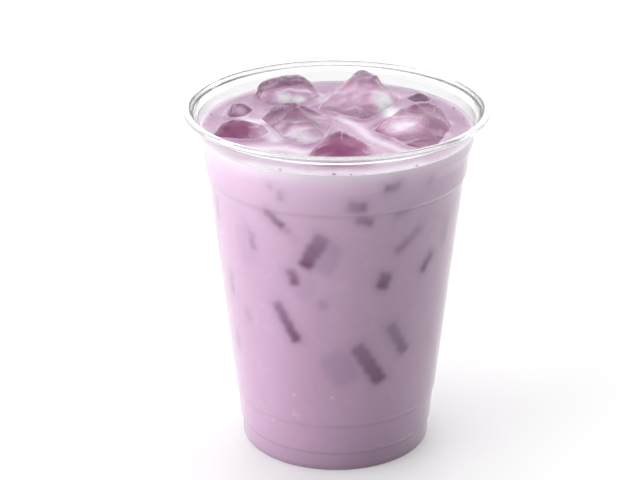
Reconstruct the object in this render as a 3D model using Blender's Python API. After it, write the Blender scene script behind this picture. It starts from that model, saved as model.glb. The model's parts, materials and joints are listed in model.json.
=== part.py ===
"""Iced taro milk tea in a clear plastic cup.

The cup is one thin skin: a raised floor inside a foot ring, two small steps low in the wall, a stacking
ledge and a shoulder under the rim, and a rim rolled outwards. The drink fills it to a little below the rim,
and eight melting blocks of ice float in it with their crests out of the drink.
Dimensions are in millimetres and become metres when a mesh is made. The frame has +Z up and its origin at
the middle of the cup's underside.
"""

import math
from typing import NamedTuple

import bmesh
import bpy
from mathutils import Matrix, Vector

MM = 0.001

# A round shape has this many sides, and the rolled rim this many steps round its section.
SIDES = 56
CURL_STEPS = 7

# Faces that meet at more than this angle, in degrees, meet at a sharp edge.
SHARP_ANGLE = 40.0

# Overall size of the cup, and the thickness of its plastic.
RIM_RADIUS = 49.0
CUP_HEIGHT = 116.0
WALL = 0.6

# The foot ring stands on the table and the floor inside it is raised.
FOOT_RADIUS = 31.0
FOOT_ROUNDING = 1.2
FOOT_RING_WIDTH = 3.8
FLOOR_RISE = 2.4
FLOOR_SLOPE_RUN = 1.2

# Steps in the wall from the foot up, each as (radius, height) of its lower and its upper edge.
FOOT_STEP = ((31.3, 6.3), (32.0, 7.4))
LOWER_STEP = ((32.7, 16.9), (33.3, 18.3))
STACKING_LEDGE = ((41.0, 91.6), (42.1, 94.9))
SHOULDER = ((42.7, 101.6), (43.9, 105.0))
NECK = (44.6, 111.6)

# The rim is rolled outwards and down, through these angles round the middle of the roll.
ROLL_RADIUS = 1.55
ROLL_START = 150.0
ROLL_END = -105.0

# The drink stands this clear of the plastic, and the ice of the drink.
FIT_GAP = 0.3
DRINK_LEVEL = 108.0

# A block of ice is melted round at its edges. Its sides go down from just under the drink's level and
# draw in to a smaller keel.
ICE_ROUNDING = 1.5
ICE_ROUNDING_STEPS = 2
SIDE_TOP = -0.7
KEEL_SHARE = 0.78

CUP_COLOUR = (0.93, 0.95, 0.97, 1.0)
DRINK_COLOUR = (0.63, 0.43, 0.61, 1.0)
ICE_COLOUR = (0.72, 0.58, 0.74, 1.0)


class IceBlock(NamedTuple):
    """A floating block. depth is how far its keel reaches below the drink's level. sides are its upright
    edges, as (x, y) where they meet the drink, and crests its corners in the air, as (x, y, height)."""

    name: str
    depth: float
    sides: tuple
    crests: tuple


ICE_BLOCKS = (
    IceBlock(
        "ice_back_left",
        14.0,
        ((-27.0, 32.0), (-24.5, 20.5), (-11.0, 20.0), (-4.5, 28.5), (-12.0, 38.5)),
        ((-25.0, 31.5, 4.4), (-13.0, 35.5, 6.2), (-7.5, 30.5, 3.8), (-24.0, 23.0, 3.2)),
    ),
    IceBlock(
        "ice_left_small",
        12.0,
        ((-37.0, 8.5), (-32.0, 4.8), (-27.5, 9.5), (-27.5, 17.0), (-33.5, 18.5)),
        ((-32.5, 15.0, 3.0), (-28.5, 15.5, 2.0)),
    ),
    IceBlock(
        "ice_left_front",
        15.0,
        ((-40.0, -8.5), (-35.0, -13.8), (-22.5, -13.5), (-20.0, -7.0), (-24.0, 0.5), (-35.0, 1.5)),
        ((-34.5, -2.8, 3.6), (-25.5, -3.5, 2.6)),
    ),
    IceBlock(
        "ice_centre_left",
        20.0,
        ((-25.0, 6.5), (-16.0, -14.5), (-10.5, -20.5), (-4.5, -15.0), (0.5, 4.5), (-12.0, 12.0)),
        ((-19.0, 8.5, 5.2), (-11.5, 6.5, 5.6)),
    ),
    IceBlock(
        "ice_back_tall",
        21.0,
        ((-7.0, 15.0), (9.5, 4.0), (21.5, 24.0), (15.5, 36.0), (4.5, 37.5)),
        ((8.4, 34.0, 8.6), (13.0, 30.0, 7.4), (12.5, 15.5, 4.2), (4.5, 29.5, 6.6)),
    ),
    IceBlock(
        "ice_right",
        19.0,
        ((10.0, -5.0), (24.0, -22.8), (30.5, -22.0), (37.5, -0.5), (32.0, 13.5), (23.0, 13.5)),
        ((19.0, 4.0, 3.4), (28.4, 10.5, 5.0), (32.5, 7.0, 4.6), (32.5, -6.5, 2.2)),
    ),
    IceBlock(
        "ice_front",
        20.0,
        ((-10.0, -28.5), (-5.0, -37.0), (10.0, -36.5), (15.5, -26.0), (4.5, -14.5), (-3.0, -14.5)),
        ((-0.3, -17.5, 5.8), (6.5, -21.5, 3.6), (-1.0, -25.0, 4.4)),
    ),
    IceBlock(
        "ice_back_right",
        9.0,
        ((21.8, 26.0), (26.0, 19.8), (33.0, 24.0), (28.5, 30.0)),
        ((27.8, 25.8, 3.0),),
    ),
)


def new_material(name, colour, roughness, alpha=1.0, transmission=0.0):
    material = bpy.data.materials.new(name)
    material.use_nodes = True
    shader = material.node_tree.nodes["Principled BSDF"]
    shader.inputs["Base Color"].default_value = colour
    shader.inputs["Roughness"].default_value = roughness
    shader.inputs["Metallic"].default_value = 0.0
    shader.inputs["Alpha"].default_value = alpha
    shader.inputs["Transmission Weight"].default_value = transmission
    return material


def new_object(name, shape, material):
    """Makes an object from a bmesh in millimetres, shaded smooth but for its sharp edges."""
    bmesh.ops.transform(shape, matrix=Matrix.Scale(MM, 4), verts=shape.verts)
    mesh = bpy.data.meshes.new(name)
    shape.to_mesh(mesh)
    shape.free()
    mesh.shade_smooth()
    mesh.set_sharp_from_angle(angle=math.radians(SHARP_ANGLE))
    mesh.materials.append(material)
    made = bpy.data.objects.new(name, mesh)
    bpy.context.scene.collection.objects.link(made)
    return made


def arc(centre, radius, start, end, steps):
    """Points along part of a circle in the profile's plane, its angles in degrees."""
    angles = [math.radians(start + (end - start) * i / steps) for i in range(steps + 1)]
    return [(centre[0] + radius * math.cos(a), centre[1] + radius * math.sin(a)) for a in angles]


def outer_skin():
    """The cup's outer face as (radius, height), from the middle of its underside to the end of the roll."""
    ring_inner = FOOT_RADIUS - FOOT_RING_WIDTH
    underside = [(0.0, FLOOR_RISE), (ring_inner - FLOOR_SLOPE_RUN, FLOOR_RISE), (ring_inner, 0.0)]
    foot_centre = (FOOT_RADIUS - FOOT_ROUNDING, FOOT_ROUNDING)
    foot = arc(foot_centre, FOOT_ROUNDING, -90.0, 0.0, 3)
    wall = [*FOOT_STEP, *LOWER_STEP, *STACKING_LEDGE, *SHOULDER, NECK]
    roll_centre = (RIM_RADIUS - ROLL_RADIUS, CUP_HEIGHT - ROLL_RADIUS)
    roll = arc(roll_centre, ROLL_RADIUS - WALL, ROLL_START, ROLL_END, CURL_STEPS)
    return underside + foot + wall + roll


def moved_in(line, distance):
    """The line moved sideways by a distance, to the left of its direction, with its corners kept."""
    ways = [(Vector(end) - Vector(start)).normalized() for start, end in zip(line, line[1:])]
    lefts = [Vector((-way.y, way.x)) for way in ways]
    moved = []
    for point, before, after in zip(line, [lefts[0], *lefts], [*lefts, lefts[-1]]):
        corner = (before + after) / (1.0 + before.dot(after))
        moved.append(tuple(Vector(point) + corner * distance))
    return moved


def up_to(line, height):
    """The start of a rising line, ended where it first crosses a height beyond the foot."""
    kept = [line[0]]
    for (low_radius, low), (high_radius, high) in zip(line, line[1:]):
        if high > height:
            share = (height - low) / (high - low)
            kept.append((low_radius + (high_radius - low_radius) * share, height))
            return kept
        kept.append((high_radius, high))
    return kept


def turned(profile):
    """A closed shape turned about the Z axis from a profile that starts on the axis. Where the profile
    ends away from the axis, a flat face closes the shape."""
    shape = bmesh.new()
    points = [shape.verts.new((radius, 0.0, height)) for radius, height in profile]
    edges = [shape.edges.new(pair) for pair in zip(points, points[1:])]
    bmesh.ops.spin(
        shape,
        geom=points + edges,
        cent=(0.0, 0.0, 0.0),
        axis=(0.0, 0.0, 1.0),
        angle=math.tau,
        steps=SIDES,
        use_merge=True,
    )
    bmesh.ops.remove_doubles(shape, verts=shape.verts, dist=1e-4)
    bmesh.ops.holes_fill(shape, edges=shape.edges, sides=SIDES)
    bmesh.ops.recalc_face_normals(shape, faces=shape.faces)
    return shape


def make_cup(material):
    """The skin of the cup: its outer face, and the same face moved in by the wall's thickness."""
    outer = outer_skin()
    inner = moved_in(outer, WALL)
    return new_object("cup", turned(outer + inner[::-1]), material)


def ice_shape(block, grown=0.0):
    """The hull of a block's corners, bevelled as melting leaves it, and grown outwards by a distance."""
    centre = sum((Vector(side) for side in block.sides), Vector((0.0, 0.0))) / len(block.sides)
    keel = [centre + (Vector(side) - centre) * KEEL_SHARE for side in block.sides]
    corners = [(x, y, DRINK_LEVEL + SIDE_TOP) for x, y in block.sides]
    corners += [(x, y, DRINK_LEVEL - block.depth) for x, y in keel]
    corners += [(x, y, DRINK_LEVEL + height) for x, y, height in block.crests]
    shape = bmesh.new()
    hull = bmesh.ops.convex_hull(shape, input=[shape.verts.new(corner) for corner in corners])
    bmesh.ops.delete(shape, geom=hull["geom_interior"], context="VERTS")
    bmesh.ops.dissolve_limit(shape, angle_limit=math.radians(4.0), verts=shape.verts, edges=shape.edges)
    bmesh.ops.bevel(
        shape,
        geom=shape.edges[:],
        offset=ICE_ROUNDING,
        offset_type="OFFSET",
        affect="EDGES",
        segments=ICE_ROUNDING_STEPS,
        profile=0.5,
        clamp_overlap=True,
        material=-1,
    )
    bmesh.ops.remove_doubles(shape, verts=shape.verts, dist=0.05)
    bmesh.ops.recalc_face_normals(shape, faces=shape.faces)
    shape.normal_update()
    outwards = [(vert, vert.normal.copy() * vert.calc_shell_factor()) for vert in shape.verts]
    for vert, way in outwards:
        vert.co += way * grown
    return shape


def cut_out(body, tools):
    """Cuts each tool's shape out of a body, and removes the tools."""
    for tool in tools:
        cut = body.modifiers.new(f"cut_{tool.name}", "BOOLEAN")
        cut.operation = "DIFFERENCE"
        cut.solver = "EXACT"
        cut.object = tool
    evaluated = body.evaluated_get(bpy.context.evaluated_depsgraph_get())
    whole = body.data
    body.data = bpy.data.meshes.new_from_object(evaluated)
    body.data.name = body.name
    body.data.set_sharp_from_angle(angle=math.radians(SHARP_ANGLE))
    body.modifiers.clear()
    bpy.data.meshes.remove(whole)
    for tool in tools:
        bpy.data.objects.remove(tool)


def make_drink(material):
    """The drink up to its level, with a hollow for each block of ice a little larger than the block."""
    side = up_to(moved_in(outer_skin(), WALL + FIT_GAP), DRINK_LEVEL)
    drink = new_object("milk_tea", turned(side), material)
    hollows = [new_object(f"hollow_{block.name}", ice_shape(block, FIT_GAP), material) for block in ICE_BLOCKS]
    cut_out(drink, hollows)


def make_ice(material):
    for block in ICE_BLOCKS:
        new_object(block.name, ice_shape(block), material)


def main():
    for old in list(bpy.data.objects):
        bpy.data.objects.remove(old)
    plastic = new_material("clear_plastic", CUP_COLOUR, roughness=0.05, alpha=0.25, transmission=0.9)
    tea = new_material("milk_tea", DRINK_COLOUR, roughness=0.30)
    ice = new_material("ice", ICE_COLOUR, roughness=0.08, transmission=0.6)
    make_cup(plastic)
    make_drink(tea)
    make_ice(ice)


main()
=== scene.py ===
"""The looks of an iced taro milk tea in a clear plastic cup.

The cup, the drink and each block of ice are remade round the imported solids, at full fineness. Lengths are in
millimetres unless a name says otherwise, and become metres when a mesh is made.
"""

import json
import math
import random
from typing import NamedTuple

import bmesh
import bpy
import numpy as np
from mathutils import Matrix, Vector, noise
from mathutils.bvhtree import BVHTree

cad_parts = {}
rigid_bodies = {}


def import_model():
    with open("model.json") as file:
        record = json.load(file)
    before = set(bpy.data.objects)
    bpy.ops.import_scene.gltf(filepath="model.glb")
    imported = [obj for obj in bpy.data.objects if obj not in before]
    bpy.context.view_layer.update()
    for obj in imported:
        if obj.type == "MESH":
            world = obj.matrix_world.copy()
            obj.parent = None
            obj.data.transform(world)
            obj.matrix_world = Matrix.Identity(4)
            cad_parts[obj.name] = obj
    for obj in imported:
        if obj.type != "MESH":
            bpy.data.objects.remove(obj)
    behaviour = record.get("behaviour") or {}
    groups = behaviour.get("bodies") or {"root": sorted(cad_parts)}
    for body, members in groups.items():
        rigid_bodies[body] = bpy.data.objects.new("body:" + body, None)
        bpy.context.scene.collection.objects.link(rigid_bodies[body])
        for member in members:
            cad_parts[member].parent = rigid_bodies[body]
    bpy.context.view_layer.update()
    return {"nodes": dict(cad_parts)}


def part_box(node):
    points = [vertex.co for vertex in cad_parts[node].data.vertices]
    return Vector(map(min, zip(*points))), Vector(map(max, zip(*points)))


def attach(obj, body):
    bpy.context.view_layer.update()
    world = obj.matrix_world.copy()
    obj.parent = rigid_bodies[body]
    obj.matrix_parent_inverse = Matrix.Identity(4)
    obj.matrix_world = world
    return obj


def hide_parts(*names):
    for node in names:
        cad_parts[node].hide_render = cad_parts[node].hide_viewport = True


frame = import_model()

MM = 0.001
SEED = 11

# The cup's outline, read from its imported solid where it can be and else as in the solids.
CUP_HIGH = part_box("cup")[1]
DRINK_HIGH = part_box("milk_tea")[1]
RIM_RADIUS = round(CUP_HIGH.x / MM, 1)
CUP_HEIGHT = round(CUP_HIGH.z / MM, 1)
DRINK_LEVEL = round(DRINK_HIGH.z / MM, 1)
DRINK_RADIUS = DRINK_HIGH.x / MM
WALL = 0.5
FOOT_RADIUS = 31.0
FOOT_RING_WIDTH = 3.8
FLOOR_RISE = 2.4
FLOOR_SLOPE_RUN = 1.2
FOOT_STEP = ((31.3, 6.3), (32.0, 7.4))
LOWER_STEP = ((32.75, 17.2), (33.3, 18.2))
STACKING_LEDGE = ((41.0, 91.6), (41.55, 94.0), (42.1, 94.9))
SHOULDER = ((42.7, 101.6), (43.9, 105.0))
NECK = (44.6, 111.6)

# The rim's bead: its half sizes, the angles at which it leaves the wall's outer face and comes back to the
# inner one, in degrees from outwards, and how far into the bead the wall's outer face runs.
BEAD_HALF_WIDTH, BEAD_HALF_HEIGHT = 1.10, 0.98
BEAD_START, BEAD_END = -143.0, 190.0
INSIDE_BEAD = 0.60

# How finely round things are made.
CUP_SIDES = 240
BEAD_STEPS = 36
CORNER_ROUNDING = 0.45
CORNER_STEPS = 3
DRINK_SIDES = 400
DRINK_STEP = 0.65
ICE_VOXEL = 0.5
ICE_SOFTENING = 3

# The ice swells by this much to make up for what its softened edges lose. It has dimples, each as a size and
# a depth, and has melted in shallow scallops. Each block takes its dimples from another place in the noise.
SWELLING = 0.80
DIMPLE_SIZE, DIMPLE_DEPTH = 7.5, 0.35
FINE_DIMPLE_SIZE, FINE_DIMPLE_DEPTH = 2.9, 0.08
SCALLOP_SIZE, SCALLOP_DEPTH, SCALLOP_STEEPNESS = 6.5, 0.65, 1.6
NEXT_BLOCK = Vector((17.3, 5.1, 9.7))

# The drink climbs the wall and the ice a little, and falls back within this reach. Its surface swells
# faintly, less and less within the calm margin along the wall.
WALL_CLIMB, WALL_REACH = 0.45, 1.2
CLIMB_STEP = 0.3
ICE_CLIMB, ICE_REACH = 0.8, 0.9
SURFACE_SWELL, SWELL_SIZE = 0.12, 11.0
EDGE_MARGIN, CALM_MARGIN = 0.5, 4.0

# The drink's mesh reaches this far into the ice and into the cup's wall, so no air shows between them.
ICE_CONTACT = 0.12
WALL_CONTACT = 0.25

# Edges of the drink's mesh that bend by more degrees than this stay sharp.
CREASE_ANGLE = 50.0

# Camera and light, as the photograph has them.
IMAGE_WIDTH = 640
SENSOR_WIDTH = 36.0
FOCAL_PIXELS = 2078.0
CAMERA_DISTANCE = 680.0
CAMERA_ELEVATION = 23.25
AIM_HEIGHT = 68.6
AIM_SIDE = -5.28
BACK_WALL_GLOW = 1.80
FRONT_WALL_GLOW = 0.14
SIDE_WALL_GLOW = 0.22
CEILING_GLOW = 0.58
FLOOR_GLOW = 0.067

# The floor's radius, the lights' distance and their sizes are in metres.
FLOOR_RADIUS = 4.0
LIGHT_DISTANCE = 2.5
LIGHT_AIM_HEIGHT = 60.0

# Each light's angle from the front towards the viewer's right, its elevation, its size and its power.
LIGHTS = {
    "left": (-80.0, 4.5, (2.4, 0.6), 92.0),
    "above_left": (-30.0, 54.0, (1.2, 0.8), 4.0),
    "front_left": (-66.0, 14.0, (1.6, 0.8), 11.0),
    "right": (84.0, 44.0, (1.0, 0.8), 3.0),
    "right_back": (113.0, 6.0, (0.6, 0.8), 7.0),
}

# The plastic seen straight on and at a slant, and how much of a slant it takes to look greyer.
PLASTIC_FACING, PLASTIC_SLANTED = (0.925, 0.928, 0.932, 1.0), (0.46, 0.46, 0.48, 1.0)
PLASTIC_DENSE_FROM = 0.78

# The drink's colours: its body and streaks, its swirls with a painted patch of light, its hollows under the
# ice in painted light and shade, and its side in painted light. Painted light pales its side near the level,
# painted shade darkens it under the steps, and a painted highlight runs along its edge.
BODY_DARK, BODY_LIGHT = (0.50, 0.285, 0.455, 1.0), (0.55, 0.335, 0.525, 1.0)
STREAK_COLOUR = (0.80, 0.66, 0.82, 1.0)
SWIRL_AND_CAUSTIC_THIN, SWIRL_AND_CAUSTIC_THICK = (0.95, 0.86, 0.97, 1.0), (1.0, 0.98, 1.0, 1.0)
HOLLOW_SHADED_PLUM, HOLLOW_LIT_LILAC = (0.92, 0.43, 0.75, 1.0), (1.0, 0.84, 0.96, 1.0)
SIDE_LIGHT_COLOUR = (0.84, 0.58, 0.80, 1.0)
NEAR_TOP_LIGHT_COLOUR = (1.0, 0.82, 0.99, 1.0)
STEP_SHADE_COLOUR = (0.30, 0.19, 0.30, 1.0)
MENISCUS_HIGHLIGHT_COLOUR = (1.0, 0.90, 1.0, 1.0)
SUNK_SIDE_COLOUR, SUNK_EDGE_COLOUR = (0.44, 0.26, 0.48, 1.0), (0.20, 0.0, 0.15, 1.0)
FROTH_COLOUR = (0.93, 0.86, 0.95, 1.0)

# The ice's colours, from clear to white with a painted shade on its sharp edges, and how its cracks run: the
# cells between them are bent by noise.
ICE_CLEAR, ICE_RIDGE_SHADE = (1.0, 0.95, 0.98, 1.0), (0.86, 0.58, 0.74, 1.0)
ICE_FILM, ICE_MILKY = (1.0, 0.60, 0.82, 1.0), (1.0, 0.79, 0.97, 1.0)
ICE_WHITE, ICE_CRACK = (1.0, 0.94, 0.99, 1.0), (0.97, 0.92, 0.98, 1.0)
CRACK_SCALE, CRACK_BEND_SCALE = 240.0, 260.0
CRACK_BEND = (0.003, 0.003, 0.003)

BUBBLE_DARK, BUBBLE_PALE = (0.50, 0.30, 0.46, 1.0), (0.78, 0.60, 0.75, 1.0)
FLOOR_DARK, FLOOR_PALE = (0.87, 0.87, 0.87, 1.0), (0.89, 0.89, 0.89, 1.0)
WHITE = (1.0, 1.0, 1.0, 1.0)


class SunkIce(NamedTuple):
    """Ice that touches the cup's wall inside the drink and shows as a soft dark bar: angle round the cup
    from the front, in degrees, height, length, width, lean from upright, in degrees, and how dark it is."""

    angle: float
    height: float
    length: float
    width: float
    lean: float
    dark: float


SUNK_EDGES = (
    SunkIce(-28.4, 91.1, 7.6, 2.3, -50.0, 0.85),
    SunkIce(-23.4, 88.3, 3.6, 1.3, -58.0, 0.45),
    SunkIce(-24.2, 100.0, 3.2, 1.8, 3.0, 0.38),
    SunkIce(-28.4, 102.6, 2.0, 1.6, 12.0, 0.28),
    SunkIce(-41.6, 81.3, 6.0, 2.2, -4.0, 0.48),
    SunkIce(-44.6, 85.6, 5.0, 1.8, -30.0, 0.16),
    SunkIce(-8.8, 83.4, 8.4, 5.0, 30.0, 0.78),
    SunkIce(-12.6, 78.9, 7.4, 4.4, 24.0, 1.00),
    SunkIce(-20.6, 71.6, 5.4, 2.9, -17.0, 0.90),
    SunkIce(8.2, 97.2, 6.0, 3.6, -84.0, 0.58),
    SunkIce(11.6, 92.1, 5.6, 2.7, -72.0, 0.64),
    SunkIce(23.0, 103.0, 5.0, 2.6, 80.0, 0.64),
    SunkIce(41.9, 102.5, 2.6, 1.6, -20.0, 0.30),
    SunkIce(29.1, 93.3, 5.0, 2.2, 76.0, 0.30),
    SunkIce(34.0, 83.0, 11.4, 2.8, 52.0, 0.44),
    SunkIce(46.7, 72.7, 6.8, 2.5, 36.0, 0.98),
    SunkIce(22.4, 70.1, 5.8, 3.9, 14.0, 1.00),
    SunkIce(-25.2, 54.8, 14.6, 3.3, -27.0, 1.00),
    SunkIce(-6.6, 62.9, 3.4, 2.7, 0.0, 0.30),
    SunkIce(32.3, 47.7, 13.2, 3.6, -29.0, 0.74),
    SunkIce(16.8, 40.2, 17.0, 4.6, -31.0, 0.95),
    SunkIce(-69.4, 86.0, 9.0, 2.6, 12.0, 0.35),
    SunkIce(-62.4, 61.5, 8.0, 2.4, 3.0, 0.35),
    SunkIce(-63.8, 40.6, 7.0, 2.2, 0.0, 0.30),
    SunkIce(-50.0, 53.1, 4.0, 1.9, -13.0, 0.28),
    SunkIce(59.5, 81.0, 8.6, 2.4, 2.0, 0.30),
)

# The broad side of a sunk block next to its dark edge, seen as a faint violet shade.
SUNK_SIDES = (
    SunkIce(-4.0, 79.2, 12.0, 7.0, 24.0, 0.42),
    SunkIce(2.0, 39.5, 13.0, 10.0, -29.0, 0.40),
    SunkIce(-46.0, 79.0, 14.0, 8.0, -10.0, 0.22),
    SunkIce(-15.0, 68.0, 9.0, 6.0, 20.0, 0.22),
    SunkIce(-21.0, 86.5, 8.0, 4.0, -55.0, 0.20),
)

# Sunk ice at the sides and the back, which the photograph doesn't show, is drawn at random like the rest.
BACK_FROM, BACK_TO = 74.0, 286.0
BACK_COUNT = 24
BACK_LENGTHS = (3.5, 5.5, 7.0, 9.0, 12.0, 14.0)

# How soft the dark edges of sunk ice are, how much they fade at the top and how much they wobble. Each has a
# faint, wider halo. The broad sides and the specks of froth have a softness too.
EDGE_SOFTNESS, EDGE_FADE, EDGE_WOBBLE = 2.5, 0.45, 0.18
HALO_SOFTNESS, HALO_GROWTH, HALO_SHARE = 5.0, 3.0, 0.40
SIDE_SOFTNESS, SPECK_SOFTNESS = 3.6, 1.0
BAR_CORNER = 0.6

# Painted shade: the drink is darker just under each step of the wall: height, reach and how dark. Painted
# shade makes it darker at the foot too, and painted light makes it paler under its level: how much, and how
# fast it fades with height.
STEP_SHADES = ((93.8, 0.8, 0.22), (16.7, 0.8, 0.22), (6.3, 0.8, 0.45), (0.6, 0.9, 0.70))
FOOT_SHADE, FOOT_SHADE_REACH = 0.32, 9.0
TOP_PAINTED_LIGHT, TOP_PAINTED_LIGHT_REACH = 0.80, 5.0
UPPER_PAINTED_LIGHT, UPPER_PAINTED_LIGHT_REACH = 0.42, 26.0

# Fine pale specks of froth against the wall, as angle, height and radius.
SPECKS = ((-23.4, 28.0, 0.45), (-21.7, 20.2, 0.3), (-39.2, 15.6, 0.3), (-2.4, 28.4, 0.5), (-23.9, 20.6, 0.3))


class Patch(NamedTuple):
    """A round place on the ice with a soft edge: its middle, its radius and how strong it is."""

    x: float
    y: float
    z: float
    radius: float
    strength: float


# Places where milk drawn over the ice, or fine cracks in it, make it pale. The last is a painted glint.
CLOUDY_AND_GLINTS = (
    Patch(-17.5, 21.5, 108.7, 7.0, 1.05),
    Patch(-11.5, 21.0, 108.0, 8.5, 1.00),
    Patch(-6.0, 24.0, 108.4, 6.5, 0.90),
    Patch(-21.0, -9.5, 108.4, 8.5, 0.80),
    Patch(-11.5, -12.0, 107.0, 11.5, 0.85),
    Patch(-18.5, -5.0, 107.6, 6.5, 0.65),
    Patch(-3.0, -1.0, 107.6, 7.0, 0.45),
    Patch(16.5, 17.0, 108.2, 11.5, 1.15),
    Patch(5.0, 19.5, 110.5, 15.0, 0.46),
    Patch(21.0, -5.5, 109.6, 10.0, 0.84),
    Patch(13.5, -27.0, 107.8, 8.0, 0.55),
    Patch(-31.0, 10.5, 109.6, 4.5, 0.55),
)

# The outer share of a patch's radius over which it fades.
PATCH_FALL = 0.85

# The pale front edge of the slab at the back left, and how wide it is.
PALE_EDGE = (Vector((-23.2, 23.6, 110.0)), Vector((-15.2, 26.0, 111.2)), Vector((-6.5, 26.5, 110.8)))
PALE_EDGE_REACH = 1.1
PALE_EDGE_STRENGTH = 0.95

# Milk on each block just above the drink: how strong, up to what height it is full, and how fast it fades.
FILM = {
    "ice_back_left": 0.60,
    "ice_back_right": 0.10,
    "ice_back_tall": 0.30,
    "ice_centre_left": 0.60,
    "ice_front": 0.0,
    "ice_left_front": 0.0,
    "ice_left_small": 0.20,
    "ice_right": 0.10,
}
FILM_FULL, FILM_REACH = 0.4, 1.3

# How far a point has to stand out from its neighbours to be on an edge of the ice, and on a sharp one.
SHARP_FROM, SHARP_FULL = 0.03, 0.08

# Painted light and shade: how pale the drink under each block is painted, from plum at 0 to lilac at 1, for
# how lit it looks through the block.
HOLLOW_PAINTED_LIGHT = {
    "ice_back_left": 1.00,
    "ice_back_right": 0.90,
    "ice_back_tall": 1.00,
    "ice_centre_left": 0.70,
    "ice_front": 0.00,
    "ice_left_front": 0.20,
    "ice_left_small": 0.60,
    "ice_right": 0.25,
}

# Pale swirls on the drink, each a chain of points with a radius and a strength. The third chain is a painted
# patch of light, which the ice beside it focuses onto the drink.
SWIRLS_AND_CAUSTIC = (
    (((5.9, 1.7), (10.5, -10.3), (19.6, -21.1), (23.0, -23.0)), 2.6, 0.60),
    (((1.2, 8.1), (5.9, 1.7)), 2.2, 0.60),
    (((17.6, 15.0), (18.4, 11.0)), 4.2, 1.00),
    (((-26.0, -19.5), (-16.2, -19.8), (-11.0, -23.0)), 3.6, 0.65),
    (((-22.7, -4.7), (-19.4, -12.0)), 3.4, 0.60),
    (((-31.5, 8.5), (-26.5, 4.5), (-23.0, 3.0)), 2.4, 0.75),
    (((-5.3, 25.5), (-1.9, 31.5)), 3.0, 0.45),
    (((30.0, -18.0), (35.0, -8.0)), 3.0, 0.35),
    (((-26.0, -33.0), (-10.0, -40.5), (10.0, -40.5), (26.0, -33.0)), 4.0, 0.60),
)

# The swirls go down this far below the level.
SWIRL_DEPTH = 1.5

# The hollows that hold ice lie within a radius and above a height, on faces within a gap of the ice. Their
# painted light and shade is full at some depth below the level.
HOLLOWS_WITHIN, HOLLOWS_ABOVE = 42.5, 60.0
HOLLOW_GAP, HOLLOW_FADE = 0.4, 2.5

# Bubbles lie in a chain along the front of the right-hand block, and singly: within a radius, and either
# beyond the next one, at the wall, or within a distance of the ice. The drink is highest at the climb radius.
CHAIN_START, CHAIN_END = (12.0, -7.5), (24.0, -20.0)
CHAIN_COUNT = 22
LONE_COUNT = 70
LONE_WITHIN, LONE_AT_WALL, LONE_NEAR_ICE = 42.9, 41.8, 0.9
CLIMB_RADIUS = 43.3
BUBBLE_SMALL, BUBBLE_LARGE = 0.20, 0.52

ICE_NODES = sorted(name for name in frame["nodes"] if name.startswith("ice_"))


def bead_point(turn, share=1.0):
    """A point of the rim's flattened bead at an angle from outwards, or only a share of the way out to it."""
    outward = BEAD_HALF_WIDTH * math.cos(math.radians(turn)) * share
    upward = BEAD_HALF_HEIGHT * math.sin(math.radians(turn)) * share
    return (RIM_RADIUS - BEAD_HALF_WIDTH + outward, CUP_HEIGHT - BEAD_HALF_HEIGHT + upward)


def rounded(line, radius, steps):
    """The line with a smooth bend in place of each corner between its ends."""
    made = [line[0]]
    for before, corner, after in zip(line, line[1:], line[2:]):
        here = Vector(corner)
        back, ahead = Vector(before) - here, Vector(after) - here
        reach = min(radius / math.tan(back.angle(ahead) / 2.0), back.length * 0.45, ahead.length * 0.45)
        start, end = here + back.normalized() * reach, here + ahead.normalized() * reach
        for i in range(steps + 1):
            t = i / steps
            made.append(tuple(start * (1 - t) ** 2 + here * 2 * t * (1 - t) + end * t**2))
    return made + [line[-1]]


def moved_in(line, distance):
    """The line moved sideways by a distance, to the left of its direction."""
    ways = [(Vector(end) - Vector(start)).normalized() for start, end in zip(line, line[1:])]
    lefts = [Vector((-way.y, way.x)) for way in ways]
    moved = []
    for point, before, after in zip(line, [lefts[0], *lefts], [*lefts, lefts[-1]]):
        corner = (before + after) / (1.0 + before.dot(after))
        moved.append(tuple(Vector(point) + corner * distance))
    return moved


def up_to(line, height):
    """The start of a rising line, ended where it first crosses a height beyond the foot."""
    kept = [line[0]]
    for (low_radius, low), (high_radius, high) in zip(line, line[1:]):
        if high > height:
            share = (height - low) / (high - low)
            return kept + [(low_radius + (high_radius - low_radius) * share, height)]
        kept.append((high_radius, high))
    return kept


def evenly(line, step):
    """The line with points added so that no two are further apart than a step."""
    made = [line[0]]
    for start, end in zip(line, line[1:]):
        count = max(1, math.ceil(math.dist(start, end) / step))
        made += [tuple(Vector(start).lerp(Vector(end), i / count)) for i in range(1, count + 1)]
    return made


def turned(profile, sides):
    """A closed shape in metres, turned about the Z axis from a profile that starts and ends on it."""
    shape = bmesh.new()
    points = [shape.verts.new((radius * MM, 0.0, height * MM)) for radius, height in profile]
    edges = [shape.edges.new(pair) for pair in zip(points, points[1:])]
    part = math.tau / 8.0
    middle, up = (0.0, 0.0, 0.0), (0.0, 0.0, 1.0)
    bmesh.ops.spin(shape, geom=points + edges, cent=middle, axis=up, angle=part, steps=sides // 8)
    for doubling in range(3):
        geometry = shape.verts[:] + shape.edges[:] + shape.faces[:]
        copied = bmesh.ops.duplicate(shape, geom=geometry)["geom"]
        verts = [element for element in copied if isinstance(element, bmesh.types.BMVert)]
        turn = Matrix.Rotation(part * 2**doubling, 3, "Z")
        bmesh.ops.rotate(shape, verts=verts, cent=middle, matrix=turn)
    bmesh.ops.remove_doubles(shape, verts=shape.verts, dist=1e-7)
    bmesh.ops.recalc_face_normals(shape, faces=shape.faces)
    return shape


def new_object(name, shape):
    """An object of a bmesh in metres, shaded smooth."""
    mesh = bpy.data.meshes.new(name)
    shape.to_mesh(mesh)
    shape.free()
    mesh.shade_smooth()
    made = bpy.data.objects.new(name, mesh)
    bpy.context.scene.collection.objects.link(made)
    return made


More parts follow.
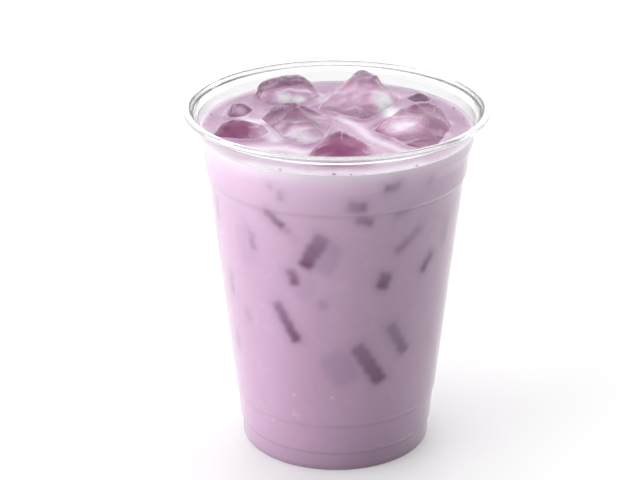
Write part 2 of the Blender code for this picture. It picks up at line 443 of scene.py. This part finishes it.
def finished(piece, material, slot, *nodes):
    """Gives a piece its material, and has it ride on the body and stand for the nodes. The slot is not used.
    """
    piece.data.materials.clear()
    piece.data.materials.append(material)
    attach(piece, "root")
    if nodes:
        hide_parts(*nodes)
    return piece


def applied(piece):
    """Makes a piece's modifiers part of its mesh."""
    evaluated = piece.evaluated_get(bpy.context.evaluated_depsgraph_get())
    before = piece.data
    piece.data = bpy.data.meshes.new_from_object(evaluated)
    piece.modifiers.clear()
    bpy.data.meshes.remove(before)
    piece.data.name = piece.name
    return piece


def cup_wall():
    """The cup's outer face up to where it has run into the rim's bead, as (radius, height)."""
    ring_inner = FOOT_RADIUS - FOOT_RING_WIDTH
    corners = [
        (0.0, FLOOR_RISE),
        (ring_inner - FLOOR_SLOPE_RUN, FLOOR_RISE),
        (ring_inner, 0.0),
        (FOOT_RADIUS, 0.0),
        *FOOT_STEP,
        *LOWER_STEP,
        *STACKING_LEDGE,
        *SHOULDER,
        NECK,
    ]
    return rounded([*corners, bead_point(BEAD_END, INSIDE_BEAD)], CORNER_ROUNDING, CORNER_STEPS)


def make_cup(material):
    """The cup: its wall of even thickness, and its rim rolled so tightly that it looks like a solid bead."""
    outer = cup_wall()
    inner = moved_in(outer, WALL)
    turn = (BEAD_END - BEAD_START) / BEAD_STEPS
    bead = [bead_point(BEAD_START + turn * i) for i in range(BEAD_STEPS + 1)]
    profile = outer[:-1] + bead + inner[-2::-1]
    return finished(new_object("clear_cup", turned(profile, CUP_SIDES)), material, "clear_plastic", "cup")


def melted(node, number):
    """A block of ice at full fineness: its solid remeshed, its edges softened and its faces dimpled."""
    shape = bmesh.new()
    shape.from_mesh(frame["nodes"][node].data)
    bmesh.ops.remove_doubles(shape, verts=shape.verts, dist=1e-6)
    block = new_object(f"clear_{node}", shape)
    remesh = block.modifiers.new("remesh", "REMESH")
    remesh.mode = "VOXEL"
    remesh.voxel_size = ICE_VOXEL * MM
    smooth = block.modifiers.new("smooth", "SMOOTH")
    smooth.factor = 0.5
    smooth.iterations = ICE_SOFTENING
    applied(block)
    offset = NEXT_BLOCK * number
    normals = [vert.normal.copy() for vert in block.data.vertices]
    for vert, normal in zip(block.data.vertices, normals):
        place = vert.co / MM
        dimple = noise.noise(place / DIMPLE_SIZE + offset) * DIMPLE_DEPTH
        fine_dimple = noise.noise(place / FINE_DIMPLE_SIZE - offset) * FINE_DIMPLE_DEPTH
        nearest, second = noise.voronoi(place / SCALLOP_SIZE + offset)[0][:2]
        scallop = min(1.0, (second - nearest) * SCALLOP_STEEPNESS)
        vert.co += normal * (SWELLING + dimple + fine_dimple - SCALLOP_DEPTH * scallop) * MM
    block.data.shade_smooth()
    return block


def sharpness(mesh):
    """How far each point of a mesh stands out from its neighbours, in millimetres."""
    shape = bmesh.new()
    shape.from_mesh(mesh)
    values = []
    for vert in shape.verts:
        around = [edge.other_vert(vert).co for edge in vert.link_edges]
        values.append((vert.co - sum(around, Vector()) / len(around)).dot(vert.normal) / MM)
    shape.free()
    return values


def away_from(line, place):
    """How far a point is from a line of points."""
    nearest = math.inf
    for start, end in zip(line, line[1:]):
        share = min(1.0, max(0.0, (place - start).dot(end - start) / (end - start).length_squared))
        nearest = min(nearest, (place - start.lerp(end, share)).length)
    return nearest


def eased(share):
    """A share kept between 0 and 1 that leaves 0 and reaches 1 softly."""
    share = min(1.0, max(0.0, share))
    return share * share * (3.0 - 2.0 * share)


def paint_ice(block, node):
    """Writes how pale the ice is at each point, from its clouded places and a painted glint, its pale edge,
    the milk just above the drink and a painted highlight along its sharp edges, and where its edges are sharp."""
    values, edges = [], []
    for vert, sharp in zip(block.data.vertices, sharpness(block.data)):
        place = vert.co / MM
        cloudy_and_glint = 0.0
        for patch in CLOUDY_AND_GLINTS:
            away = (place - Vector((patch.x, patch.y, patch.z))).length / patch.radius
            cloudy_and_glint = max(cloudy_and_glint, patch.strength * eased((1.0 - away) / PATCH_FALL))
        cloudy_and_glint *= min(1.0, 1.0 + 0.35 * noise.noise(place / 3.0))
        pale_edge = math.exp(-((away_from(PALE_EDGE, place) / PALE_EDGE_REACH) ** 2))
        cloudy_and_glint = max(cloudy_and_glint, PALE_EDGE_STRENGTH * pale_edge)
        veins = noise.noise(place / 4.0)
        film = FILM[node] * math.exp(-max(0.0, place.z - DRINK_LEVEL - FILM_FULL) / FILM_REACH)
        cloudy_and_glint = max(cloudy_and_glint, film * (0.75 + 0.6 * veins))
        edge = min(1.0, max(0.0, (sharp - SHARP_FROM) / (SHARP_FULL - SHARP_FROM)))
        # Painted highlight: sharp edges are made pale.
        values.append(max(cloudy_and_glint, 0.8 * edge * max(0.0, veins + 0.15)))
        edges.append(edge)
    write_values(block.data, "cloudy_and_glint", np.array(values))
    write_values(block.data, "ridge", np.array(edges))


def make_ice(material):
    blocks = [melted(node, number) for number, node in enumerate(ICE_NODES)]
    for node, block in zip(ICE_NODES, blocks):
        paint_ice(block, node)
        finished(block, material, "ice", node)
    return blocks


def ice_surface(blocks):
    """All the blocks' faces in one search tree."""
    joined = bmesh.new()
    for block in blocks:
        joined.from_mesh(block.data)
    tree = BVHTree.FromBMesh(joined)
    joined.free()
    return tree


def drink_profile():
    """The drink's outline: up inside the wall, over its climb at the wall, and in across the level."""
    side = up_to(moved_in(cup_wall(), WALL_CONTACT), DRINK_LEVEL + WALL_CLIMB)
    edge_radius, top = side[-1][0] - (WALL - WALL_CONTACT), side[-1][1]
    climb = [(edge_radius, top)]
    while climb[-1][0] > edge_radius - 6.0 * WALL_REACH:
        radius = climb[-1][0] - CLIMB_STEP
        climb.append((radius, DRINK_LEVEL + WALL_CLIMB * math.exp((radius - edge_radius) / WALL_REACH)))
    return evenly([*side, *climb, (0.0, DRINK_LEVEL)], DRINK_STEP)


def raise_surface(drink, ice):
    """Lifts the drink's surface where it meets ice, and gives it a faint swell."""
    inner_radius = DRINK_RADIUS - EDGE_MARGIN
    for vert in drink.data.vertices:
        radius = math.hypot(vert.co.x, vert.co.y) / MM
        if vert.co.z / MM < DRINK_LEVEL - 0.01 or radius > inner_radius:
            continue
        distance = ice.find_nearest(vert.co)[3] / MM
        calm = min(1.0, (inner_radius - radius) / CALM_MARGIN)
        swell = noise.noise(vert.co / MM / SWELL_SIZE) * SURFACE_SWELL * calm
        vert.co.z += (ICE_CLIMB * math.exp(-distance / ICE_REACH) + swell) * MM


def cut_round_ice(drink, blocks):
    """Hollows the drink round each block, a hair inside the block's own faces."""
    tools = bpy.data.collections.new("hollows")
    for block in blocks:
        tool = bpy.data.objects.new(f"hollow_{block.name}", block.data.copy())
        for vert, normal in zip(tool.data.vertices, [v.normal.copy() for v in tool.data.vertices]):
            vert.co -= normal * ICE_CONTACT * MM
        tools.objects.link(tool)
    cut = drink.modifiers.new("cut", "BOOLEAN")
    cut.operand_type = "COLLECTION"
    cut.collection = tools
    cut.operation = "DIFFERENCE"
    cut.solver = "MANIFOLD"
    applied(drink)
    for tool in list(tools.objects):
        bpy.data.objects.remove(tool)
    bpy.data.collections.remove(tools)


def back_ice():
    """Sunk ice for the part of the wall that the photograph doesn't show."""
    draw = random.Random(SEED)
    made = []
    for number in range(BACK_COUNT):
        angle = BACK_FROM + (BACK_TO - BACK_FROM) * (number + draw.uniform(0.1, 0.9)) / BACK_COUNT
        height = draw.uniform(30.0, 101.0)
        length = draw.choice(BACK_LENGTHS)
        width = draw.uniform(2.0, 3.8)
        made.append(SunkIce(angle, height, length, width, draw.uniform(-60.0, 60.0), draw.uniform(0.3, 0.95)))
    return made


def bar_mask(bar, angle, height, radius, softness, fade=0.0, wobble=0.0, grown=0.0):
    """How much of a bar is at each point, from 0 to 1: its edge is soft over some millimetres, its upper end
    fades by a share, its outline wobbles and it is grown by some millimetres."""
    across = (np.mod(angle - bar.angle + 180.0, 360.0) - 180.0) * np.pi / 180.0 * radius
    up = height - bar.height
    lean = math.radians(bar.lean)
    along = up * math.cos(lean) + across * math.sin(lean)
    aside = across * math.cos(lean) - up * math.sin(lean)
    aside = aside + wobble * (np.sin(along * 1.5 + bar.angle) + 0.6 * np.sin(along * 3.3 + bar.height))
    half_length, half_width = (bar.length + grown) / 2.0, (bar.width + grown) / 2.0
    corner = half_width * BAR_CORNER
    gap_along = np.maximum(np.abs(along) - (half_length - corner), 0.0)
    gap_aside = np.maximum(np.abs(aside) - (half_width - corner), 0.0)
    outside = np.hypot(gap_along, gap_aside) - corner
    share = np.clip(0.5 - outside / softness, 0.0, 1.0)
    fading = 1.0 - fade * np.clip(0.5 + along / bar.length, 0.0, 1.0)
    return share * share * (3.0 - 2.0 * share) * fading


def write_values(mesh, name, values):
    mesh.attributes.new(name, "FLOAT", "POINT").data.foreach_set("value", values.astype(np.float32))


def points_of(mesh):
    """The mesh's points in millimetres, as three rows."""
    place = np.empty(len(mesh.vertices) * 3, np.float32)
    mesh.vertices.foreach_get("co", place)
    return (place.reshape(-1, 3) / MM).T


def paint_top(drink, ice):
    """Writes where the drink's surface has pale swirls and a painted patch of light, and where it is a hollow
    that holds ice, with the hollow's painted light and shade.
    """
    x, y, height = points_of(drink.data)
    pale = np.zeros(len(x))
    for chain, reach, strength in SWIRLS_AND_CAUSTIC:
        for (start_x, start_y), (end_x, end_y) in zip(chain, chain[1:]):
            run_x, run_y = end_x - start_x, end_y - start_y
            share = ((x - start_x) * run_x + (y - start_y) * run_y) / (run_x**2 + run_y**2)
            share = np.clip(share, 0.0, 1.0)
            away = np.hypot(x - start_x - share * run_x, y - start_y - share * run_y) / reach
            pale = np.maximum(pale, strength * np.exp(-away * away * 1.6))
    write_values(drink.data, "swirl_and_caustic", pale * (height > DRINK_LEVEL - SWIRL_DEPTH))
    hollow, hollow_light = np.zeros(len(x)), np.zeros(len(x))
    middles = [(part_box(node)[0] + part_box(node)[1]) / (2.0 * MM) for node in ICE_NODES]
    below = (height > HOLLOWS_ABOVE) & (height < DRINK_LEVEL - 0.1)
    for index in np.flatnonzero((np.hypot(x, y) < HOLLOWS_WITHIN) & below):
        if ice.find_nearest(drink.data.vertices[index].co)[3] < HOLLOW_GAP * MM:
            hollow[index] = min(1.0, (DRINK_LEVEL - height[index]) / HOLLOW_FADE)
            away = [math.hypot(x[index] - middle.x, y[index] - middle.y) for middle in middles]
            hollow_light[index] = HOLLOW_PAINTED_LIGHT[ICE_NODES[away.index(min(away))]]
    write_values(drink.data, "hollow", hollow)
    write_values(drink.data, "hollow_light", hollow_light)


def paint_wall(drink):
    """Writes what shows on the drink's side: sunk ice, specks of froth, a painted highlight along the drink's
    edge, and painted light and shade where it is paler or darker.
    """
    x, y, height = points_of(drink.data)
    radius = np.hypot(x, y)
    angle = np.degrees(np.arctan2(x, -y))
    wall_line = moved_in(cup_wall(), WALL_CONTACT)
    rising = [point for point in wall_line if point[0] > FOOT_RADIUS - 1.0]
    wall_radius = np.interp(height, [point[1] for point in rising], [point[0] for point in rising])
    at_wall = (np.abs(radius - wall_radius) < 0.4) & (height > 1.0)
    edges = np.zeros(len(x))
    sides = np.zeros(len(x))
    specks = np.zeros(len(x))
    for bar in [*SUNK_EDGES, *back_ice()]:
        edge = bar_mask(bar, angle, height, radius, EDGE_SOFTNESS, EDGE_FADE, EDGE_WOBBLE)
        edges = np.maximum(edges, edge * bar.dark)
        halo = bar_mask(bar, angle, height, radius, HALO_SOFTNESS, grown=HALO_GROWTH)
        sides = np.maximum(sides, halo * bar.dark * HALO_SHARE)
    for bar in SUNK_SIDES:
        sides = np.maximum(sides, bar_mask(bar, angle, height, radius, SIDE_SOFTNESS) * bar.dark)
    for speck_angle, speck_height, size in SPECKS:
        speck = SunkIce(speck_angle, speck_height, size * 2.0, size * 2.0, 0.0, 1.0)
        specks = np.maximum(specks, bar_mask(speck, angle, height, radius, SPECK_SOFTNESS))
    for name, values in (("sunk_edge", edges), ("sunk_side", sides), ("speck", specks)):
        write_values(drink.data, name, values * at_wall)
    write_values(drink.data, "at_wall", at_wall)
    # Painted highlight: a pale line along the drink's edge, on the side just below the level and on the top by
    # the wall.
    above, inside = height - DRINK_LEVEL, DRINK_RADIUS - radius
    line_outside = 0.35 * np.exp(-((above + 0.3) ** 2)) * at_wall
    line_on_top = np.exp(-inside / 0.8) * (above > -0.3)
    write_values(drink.data, "meniscus_highlight", np.clip(line_outside + line_on_top, 0.0, 1.0))
    # Painted light: the side is paler towards the level.
    depth = np.clip(-above, 0.0, None)
    near_top_light = TOP_PAINTED_LIGHT * np.exp(-depth / TOP_PAINTED_LIGHT_REACH) + UPPER_PAINTED_LIGHT * np.exp(-depth / UPPER_PAINTED_LIGHT_REACH)
    write_values(drink.data, "near_top_light", near_top_light * at_wall)
    # Painted shade: the side is darker at the foot and under each step.
    shade = FOOT_SHADE * np.exp(-height / FOOT_SHADE_REACH)
    for step_height, reach, strength in STEP_SHADES:
        shade = np.maximum(shade, strength * np.exp(-(((height - step_height) / reach) ** 2)))
    write_values(drink.data, "step_shade", shade * at_wall)


def make_drink(material, blocks):
    drink = new_object("drink", turned(drink_profile(), DRINK_SIDES))
    ice = ice_surface(blocks)
    raise_surface(drink, ice)
    cut_round_ice(drink, blocks)
    drink.data.shade_smooth()
    drink.data.set_sharp_from_angle(angle=math.radians(CREASE_ANGLE))
    paint_wall(drink)
    paint_top(drink, ice)
    return finished(drink, material, "milk_tea", "milk_tea")


def make_bubbles(material, ice):
    """Small bubbles that lie half out of the drink: a chain by one block, and lone ones by ice and wall."""
    draw = random.Random(SEED + 1)
    places = []
    for i in range(CHAIN_COUNT):
        along = Vector(CHAIN_START).lerp(Vector(CHAIN_END), (i + draw.uniform(-0.4, 0.4)) / CHAIN_COUNT)
        places.append((along.x + draw.uniform(-0.5, 0.5), along.y + draw.uniform(-0.7, 0.4)))
    while len(places) < CHAIN_COUNT + LONE_COUNT:
        radius, turn = LONE_WITHIN * math.sqrt(draw.random()), draw.uniform(0.0, math.tau)
        x, y = radius * math.cos(turn), radius * math.sin(turn)
        near_ice = ice.find_nearest(Vector((x, y, DRINK_LEVEL)) * MM)[3] / MM
        if near_ice < LONE_NEAR_ICE or radius > LONE_AT_WALL:
            places.append((x, y))
    bubbles = bmesh.new()
    for x, y in places:
        size = BUBBLE_SMALL + (BUBBLE_LARGE - BUBBLE_SMALL) * draw.random() ** 2
        lift = WALL_CLIMB * math.exp((math.hypot(x, y) - CLIMB_RADIUS) / WALL_REACH)
        centre = Matrix.Translation(Vector((x, y, DRINK_LEVEL + lift + size * 0.2)) * MM)
        bmesh.ops.create_icosphere(bubbles, subdivisions=2, radius=size * MM, matrix=centre)
    return finished(new_object("bubbles", bubbles), material, "milk_tea")


class Shader:
    """A material under construction: its node tree, its Principled shader, and short calls to add nodes."""

    def __init__(self, name, **values):
        self.material = bpy.data.materials.new(name)
        self.material.use_nodes = True
        self.tree = self.material.node_tree
        self.surface = self.tree.nodes["Principled BSDF"]
        for socket, value in values.items():
            self.surface.inputs[socket.replace("_", " ")].default_value = value

    def add(self, kind, inputs=None, **settings):
        node = self.tree.nodes.new(kind)
        for key, value in settings.items():
            setattr(node, key, value)
        for key, value in (inputs or {}).items():
            if isinstance(value, bpy.types.NodeSocket):
                self.tree.links.new(value, node.inputs[key])
            else:
                node.inputs[key].default_value = value
        return node

    def noise(self, size, detail=3.0, roughness=0.5, distortion=0.0, stretch=(1.0, 1.0, 1.0)):
        """Noise on Object coordinates with features about this many millimetres across."""
        place = self.add("ShaderNodeTexCoord").outputs["Object"]
        mapped = self.add("ShaderNodeMapping", {"Vector": place, "Scale": stretch}).outputs["Vector"]
        values = {
            "Vector": mapped,
            "Scale": 1.0 / (size * MM),
            "Detail": detail,
            "Roughness": roughness,
            "Distortion": distortion,
        }
        return self.add("ShaderNodeTexNoise", values).outputs["Fac"]

    def ranged(self, value, low, high, to_low=0.0, to_high=1.0):
        values = {"Value": value, "From Min": low, "From Max": high, "To Min": to_low, "To Max": to_high}
        return self.add("ShaderNodeMapRange", values, clamp=True).outputs["Result"]

    def mixed(self, share, first, second):
        mix = self.add("ShaderNodeMix", data_type="RGBA")
        for index, value in ((0, share), (6, first), (7, second)):
            if isinstance(value, bpy.types.NodeSocket):
                self.tree.links.new(value, mix.inputs[index])
            else:
                mix.inputs[index].default_value = value
        return mix.outputs[2]

    def maths(self, operation, first, second):
        return self.add("ShaderNodeMath", {0: first, 1: second}, operation=operation).outputs[0]

    def product(self, first, second):
        return self.maths("MULTIPLY", first, second)

    def attribute(self, name):
        return self.add("ShaderNodeAttribute", attribute_name=name).outputs["Fac"]

    def link(self, value, socket):
        self.tree.links.new(value, self.surface.inputs[socket])

    def bump(self, height, distance, strength=1.0):
        values = {"Height": height, "Distance": distance * MM, "Strength": strength}
        self.link(self.add("ShaderNodeBump", values).outputs["Normal"], "Normal")


def plastic_material():
    shader = Shader(
        "clear_plastic",
        Transmission_Weight=1.0,
        IOR=1.56,
        Coat_Weight=0.8,
        Coat_Roughness=0.40,
        Coat_IOR=1.5,
    )
    flow = shader.noise(9.0, detail=2.0, stretch=(1.0, 1.0, 0.35))
    shader.link(shader.ranged(flow, 0.3, 0.7, 0.10, 0.15), "Roughness")
    shader.bump(flow, 0.05, 0.25)
    grazing = shader.add("ShaderNodeLayerWeight", {"Blend": 0.5}).outputs["Facing"]
    dense = shader.ranged(grazing, PLASTIC_DENSE_FROM, 1.0)
    shader.link(shader.mixed(dense, PLASTIC_FACING, PLASTIC_SLANTED), "Base Color")
    return shader.material


def drink_material():
    shader = Shader(
        "milk_tea",
        Subsurface_Weight=0.55,
        Subsurface_Radius=(1.0, 0.68, 0.9),
        Subsurface_Scale=0.0035,
        IOR=1.35,
    )
    cloud = shader.ranged(shader.noise(16.0, detail=4.0, distortion=0.8), 0.35, 0.68)
    body = shader.mixed(cloud, BODY_DARK, BODY_LIGHT)
    streaks = shader.noise(7.0, detail=5.0, roughness=0.6, distortion=2.2, stretch=(1.0, 1.6, 1.0))
    body = shader.mixed(shader.ranged(streaks, 0.52, 0.72, 0.0, 0.35), body, STREAK_COLOUR)
    # Pale swirls, with a painted patch of light.
    swirl_and_caustic = shader.product(shader.attribute("swirl_and_caustic"), shader.ranged(streaks, 0.2, 0.8, 0.75, 1.0))
    pale = shader.mixed(shader.ranged(swirl_and_caustic, 0.72, 0.92), SWIRL_AND_CAUSTIC_THIN, SWIRL_AND_CAUSTIC_THICK)
    body = shader.mixed(shader.ranged(swirl_and_caustic, 0.05, 0.80), body, pale)
    # Painted light and shade in the hollows under the ice.
    hollow = shader.attribute("hollow")
    deep = shader.mixed(shader.attribute("hollow_light"), HOLLOW_SHADED_PLUM, HOLLOW_LIT_LILAC)
    body = shader.mixed(hollow, body, deep)
    # Painted light: the drink's side against the wall is painted paler than its top.
    body = shader.mixed(shader.product(shader.attribute("at_wall"), 0.60), body, SIDE_LIGHT_COLOUR)
    # Painted light: the side is paler near the level.
    body = shader.mixed(shader.ranged(shader.attribute("near_top_light"), 0.0, 1.0), body, NEAR_TOP_LIGHT_COLOUR)
    # Painted shade under the steps and at the foot.
    body = shader.mixed(shader.attribute("step_shade"), body, STEP_SHADE_COLOUR)
    # Painted highlight along the drink's edge.
    body = shader.mixed(shader.attribute("meniscus_highlight"), body, MENISCUS_HIGHLIGHT_COLOUR)
    body = shader.mixed(shader.attribute("sunk_side"), body, SUNK_SIDE_COLOUR)
    body = shader.mixed(shader.attribute("sunk_edge"), body, SUNK_EDGE_COLOUR)
    body = shader.mixed(shader.product(shader.attribute("speck"), 0.7), body, FROTH_COLOUR)
    shader.link(body, "Base Color")
    touching = shader.maths("MAXIMUM", shader.attribute("at_wall"), hollow)
    shader.link(shader.ranged(touching, 0.0, 1.0, 0.12, 0.7), "Roughness")
    shader.bump(shader.noise(2.4, detail=2.0), 0.06, 0.15)
    return shader.material


def ice_material():
    shader = Shader(
        "ice",
        Subsurface_Weight=1.0,
        Subsurface_Radius=(1.0, 1.0, 1.0),
        Subsurface_Scale=0.0022,
        IOR=1.31,
    )
    # How pale the ice is, with a painted glint and painted highlights along its sharp edges.
    cloudy_and_glint = shader.attribute("cloudy_and_glint")
    veil = shader.noise(4.0, detail=3.0, distortion=0.8)
    cloud = shader.product(cloudy_and_glint, shader.ranged(veil, 0.35, 0.60, 0.88, 1.02))
    place = shader.add("ShaderNodeTexCoord").outputs["Object"]
    waves = shader.add("ShaderNodeTexNoise", {"Vector": place, "Scale": CRACK_BEND_SCALE}).outputs["Color"]
    shift = shader.add("ShaderNodeVectorMath", {0: waves, 1: CRACK_BEND}, operation="MULTIPLY").outputs[0]
    bent = shader.add("ShaderNodeVectorMath", {0: place, 1: shift}, operation="ADD").outputs[0]
    values = {"Vector": bent, "Scale": CRACK_SCALE}
    cells = shader.add("ShaderNodeTexVoronoi", values, feature="DISTANCE_TO_EDGE")
    from_crack = cells.outputs["Distance"]
    crack = shader.product(shader.ranged(from_crack, 0.0, 0.09, 1.0, 0.0), cloudy_and_glint)
    shader.link(shader.ranged(cloud, 0.0, 0.95, 1.0, 0.0), "Transmission Weight")
    # Painted shade: the clear ice is darker along its sharp edges.
    clear = shader.mixed(shader.attribute("ridge"), ICE_CLEAR, ICE_RIDGE_SHADE)
    film = shader.mixed(shader.ranged(cloud, 0.3, 0.75), ICE_FILM, ICE_MILKY)
    tint = shader.mixed(shader.ranged(cloud, 0.0, 0.3), clear, film)
    tint = shader.mixed(shader.ranged(cloudy_and_glint, 0.76, 1.0), tint, ICE_WHITE)
    shader.link(shader.mixed(crack, tint, ICE_CRACK), "Base Color")
    shader.link(shader.ranged(cloud, 0.0, 1.0, 0.02, 0.14), "Roughness")
    creased = shader.maths("MINIMUM", from_crack, 0.18)
    shader.bump(shader.maths("ADD", creased, shader.noise(3.2, detail=3.0)), 0.25, 0.35)
    return shader.material


def bubble_material():
    shader = Shader("bubble_film", Transmission_Weight=0.9, IOR=1.30, Roughness=0.03)
    tint = shader.ranged(shader.noise(1.5), 0.3, 0.7)
    shader.link(shader.mixed(tint, BUBBLE_DARK, BUBBLE_PALE), "Base Color")
    return shader.material


def floor_material():
    shader = Shader("pale_floor", Roughness=0.55, Emission_Color=WHITE, Emission_Strength=FLOOR_GLOW)
    grain = shader.ranged(shader.noise(60.0, detail=3.0), 0.3, 0.7)
    shader.link(shader.mixed(grain, FLOOR_DARK, FLOOR_PALE), "Base Color")
    return shader.material


def make_floor():
    shape = bmesh.new()
    bmesh.ops.create_circle(shape, cap_ends=True, segments=96, radius=FLOOR_RADIUS)
    floor = new_object("floor", shape)
    floor.data.materials.append(floor_material())


def make_world():
    """A white room: its wall behind the object glows most, its ceiling less, and its other walls little."""
    world = bpy.data.worlds.new("white_room")
    bpy.context.scene.world = world
    world.use_nodes = True
    nodes, links = world.node_tree.nodes, world.node_tree.links
    way = nodes.new("ShaderNodeSeparateXYZ")
    links.new(nodes.new("ShaderNodeTexCoord").outputs["Generated"], way.inputs["Vector"])
    background = nodes["Background"]
    background.inputs["Color"].default_value = WHITE
    total = None
    walls = (
        ("Y", 1.0, BACK_WALL_GLOW),
        ("Y", -1.0, FRONT_WALL_GLOW),
        ("X", 1.0, SIDE_WALL_GLOW),
        ("X", -1.0, SIDE_WALL_GLOW),
        ("Z", 1.0, CEILING_GLOW),
    )
    for axis, end, glow in walls:
        strength = nodes.new("ShaderNodeMapRange")
        strength.inputs["From Max"].default_value = end
        strength.inputs["To Max"].default_value = glow
        links.new(way.outputs[axis], strength.inputs["Value"])
        if total:
            sum_so_far = nodes.new("ShaderNodeMath")
            links.new(total, sum_so_far.inputs[0])
            links.new(strength.outputs["Result"], sum_so_far.inputs[1])
            total = sum_so_far.outputs["Value"]
        else:
            total = strength.outputs["Result"]
    links.new(total, background.inputs["Strength"])


def make_light(name, turn, elevation, size, power):
    """A white panel that faces the object from an angle and an elevation, in degrees."""
    light = bpy.data.lights.new(name, "AREA")
    light.shape = "RECTANGLE"
    light.size, light.size_y = size
    light.energy = power
    made = bpy.data.objects.new(name, light)
    turn, elevation = math.radians(turn), math.radians(elevation)
    level = math.cos(elevation)
    away = Vector((level * math.sin(turn), -level * math.cos(turn), math.sin(elevation)))
    made.location = Vector((0.0, 0.0, LIGHT_AIM_HEIGHT * MM)) + away * LIGHT_DISTANCE
    made.rotation_euler = away.to_track_quat("Z", "Y").to_euler()
    bpy.context.scene.collection.objects.link(made)


def make_lights():
    for name, (turn, elevation, size, power) in LIGHTS.items():
        make_light(name, turn, elevation, size, power)


def make_camera():
    elevation = math.radians(CAMERA_ELEVATION)
    towards = Vector((0.0, math.cos(elevation), -math.sin(elevation)))
    aim = Vector((AIM_SIDE, 0.0, AIM_HEIGHT)) * MM
    camera = bpy.data.cameras.new("camera")
    camera.sensor_width = SENSOR_WIDTH
    camera.lens = FOCAL_PIXELS / IMAGE_WIDTH * SENSOR_WIDTH
    made = bpy.data.objects.new("camera", camera)
    made.location = aim - towards * CAMERA_DISTANCE * MM
    made.rotation_euler = towards.to_track_quat("-Z", "Y").to_euler()
    bpy.context.scene.collection.objects.link(made)
    bpy.context.scene.camera = made


bpy.context.scene.view_settings.view_transform = "Standard"
make_camera()
make_world()
make_lights()
make_floor()
ice_blocks = make_ice(ice_material())
make_cup(plastic_material())
make_drink(drink_material(), ice_blocks)
make_bubbles(bubble_material(), ice_surface(ice_blocks))
